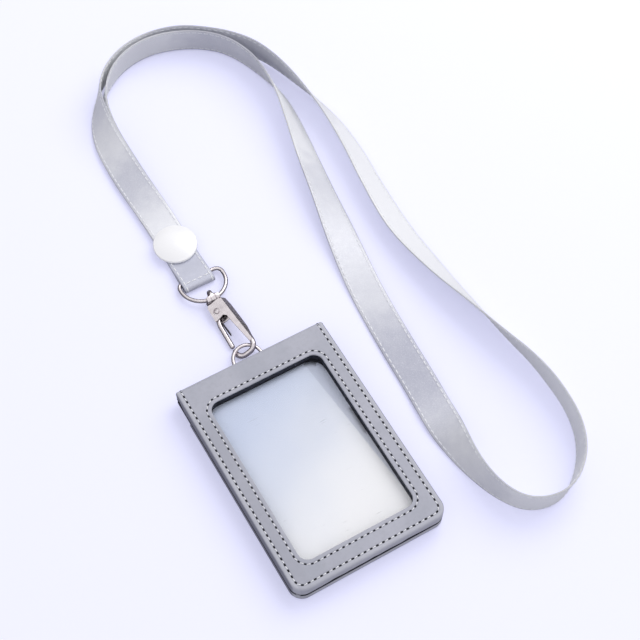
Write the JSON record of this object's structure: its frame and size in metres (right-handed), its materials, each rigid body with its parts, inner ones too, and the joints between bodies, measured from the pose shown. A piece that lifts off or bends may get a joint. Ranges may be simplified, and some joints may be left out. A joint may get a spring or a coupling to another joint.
{
  "type": "id badge wallet",
  "caption": "Grey leather badge wallet: two leaves joined at the top fold, a clear window, a back pocket, and a ring and swivel snap hook on a silver neck ribbon closed by a white snap.",
  "frame": {"origin": "middle of the wallet's back face, where it lies on the table, halfway across and halfway between the bottom edge and the fold", "axes": "+X across the wallet to the right as seen from the front, +Y up the wallet to the fold, the ring and the ribbon, +Z out of the window"},
  "size_m": [0.1451, 0.3018, 0.0158],
  "materials": {
    "grey_leather": "smooth, fine grain",
    "black_board": "matt black",
    "pale_thread": "waxed thread",
    "nickel": "bright nickel plate",
    "spring_steel": "dark wire",
    "clear_film": "clear glossy film",
    "white_card": "plain white",
    "silver_ribbon": "satin weave",
    "white_plastic": "glossy white"
  },
  "bodies": {
    "wallet": {"spine_leather": "grey_leather", "rear_leather": "grey_leather", "rear_lining": "black_board", "rear_board": "black_board", "back_pocket": "grey_leather", "back_stitches": "pale_thread", "low_card_panel": "grey_leather", "high_card_panel": "grey_leather", "ring_strap": "grey_leather", "strap_rivet": "nickel", "ribbon_tail": "silver_ribbon", "neck_ribbon": "silver_ribbon", "snap_base": "white_plastic"},
    "cover": {"front_leather": "grey_leather", "front_board": "black_board", "window_pane": "clear_film", "insert_card": "white_card", "front_lining": "black_board", "front_stitches": "pale_thread", "window_stitches": "pale_thread"},
    "ring": {"wallet_ring": "nickel"},
    "swivel": {"swivel_eye": "nickel"},
    "hook": {"hook_frame": "nickel", "gate_pin": "nickel"},
    "gate": {"hook_gate": "nickel", "gate_spring": "spring_steel"},
    "d_ring": {"d_ring": "nickel"},
    "cap": {"snap_cap": "white_plastic"}
  },
  "joints": [
    {"name": "cover_fold", "type": "hinge", "parent": "wallet", "child": "cover", "pos_m": [0, 0.052, 0.0102], "axis": [-1, 0, 0], "range_deg": [0, 180]},
    {"name": "ring_turn", "type": "hinge", "parent": "wallet", "child": "ring", "pos_m": [0.0009, 0.0547, 0.00229], "axis": [0, -0.1478, 0.989], "continuous": true},
    {"name": "d_ring_lift", "type": "hinge", "parent": "wallet", "child": "d_ring", "pos_m": [0.0009, 0.1034, 0.00185], "axis": [-1, 0, 0], "range_deg": [0, 14]},
    {"name": "hook_lift", "type": "hinge", "parent": "wallet", "child": "swivel", "pos_m": [0, 0.059, 0.0023], "axis": [1, 0, 0], "range_deg": [0, 7]},
    {"name": "hook_swivel", "type": "hinge", "parent": "swivel", "child": "hook", "pos_m": [0.0014, 0.0862, 0.00381], "axis": [0, -0.9994, -0.0349], "range_deg": [0, 120]},
    {"name": "gate_swing", "type": "hinge", "parent": "hook", "child": "gate", "pos_m": [-0.00072, 0.07994, 0.00246], "axis": [-0.4695, -0.0308, 0.8824], "range_deg": [0, 20], "stiffness_Nm_per_rad": 0.002, "springref_deg": -5.73},
    {"name": "cap_snap", "type": "slide", "parent": "wallet", "child": "cap", "axis": [0, 0, 1], "range_m": [0, 0.0035]}
  ],
  "couplings": [
    {"joint": "hook_lift", "follows": "d_ring_lift", "ratio": 0.48}
  ]
}
